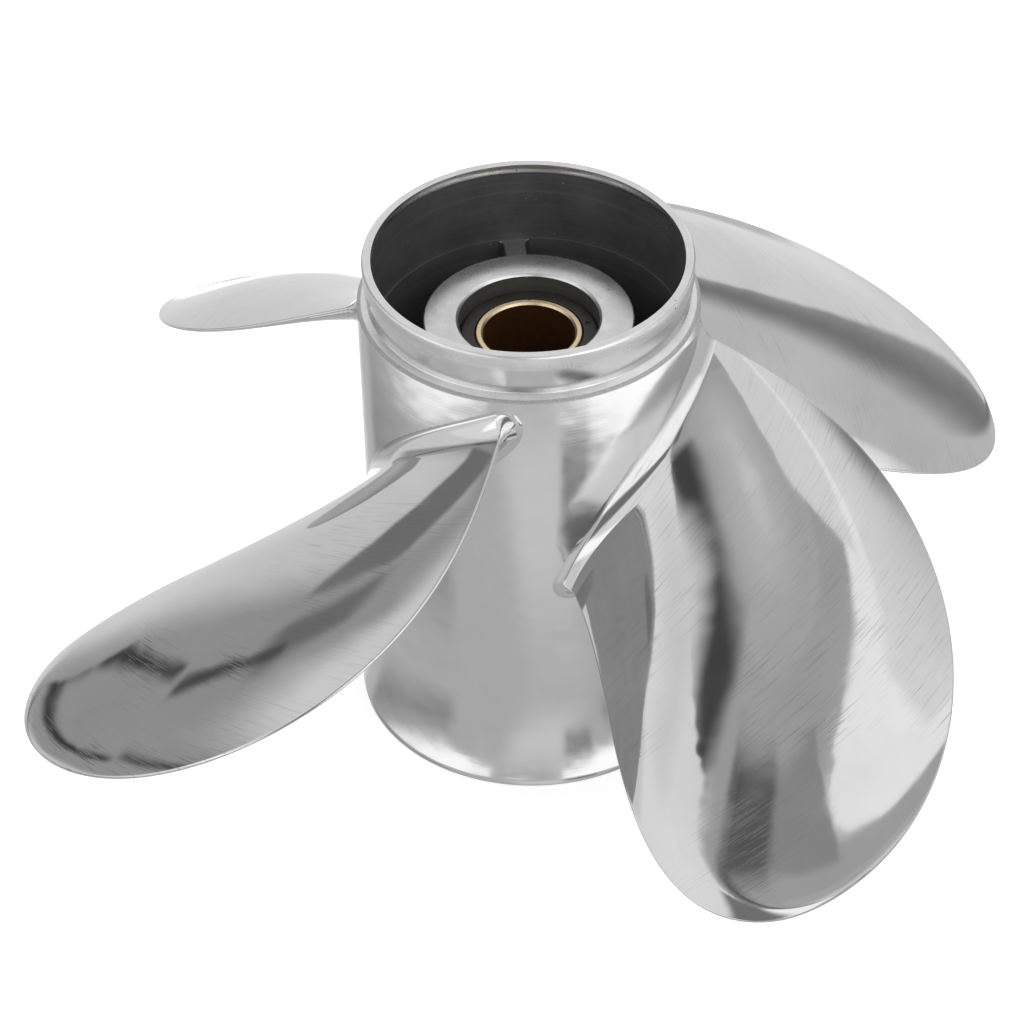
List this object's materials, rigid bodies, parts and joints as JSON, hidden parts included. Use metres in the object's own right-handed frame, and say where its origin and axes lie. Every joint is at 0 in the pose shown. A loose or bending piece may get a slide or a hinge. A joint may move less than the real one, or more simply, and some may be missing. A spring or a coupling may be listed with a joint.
{
  "type": "boat propeller",
  "caption": "Stainless outboard propeller with swept, cupped blades on a flared through-exhaust hub and a rubber-mounted splined brass sleeve.",
  "frame": {"origin": "centre of the flat rear rim that the propeller stands on, on the shaft axis", "axes": "+Z along the shaft axis towards the front, stepped end of the hub; +Y away from the usual viewing side"},
  "size_m": [0.2646, 0.2646, 0.142],
  "materials": {
    "stainless": "mirror polished cast stainless steel",
    "rubber": "moulded black rubber",
    "brass": "turned brass"
  },
  "bodies": {
    "propeller": {"hub_casting": "stainless", "blade_1": "stainless", "blade_2": "stainless", "blade_3": "stainless", "blade_4": "stainless", "rubber_bushing": "rubber"},
    "sleeve": {"drive_sleeve": "brass"}
  },
  "joints": [
    {"name": "sleeve_twist", "type": "hinge", "parent": "propeller", "child": "sleeve", "pos_m": [0, 0, 0.0775], "axis": [0, 0, 1], "range_deg": [-6, 6], "stiffness_Nm_per_rad": 400}
  ]
}
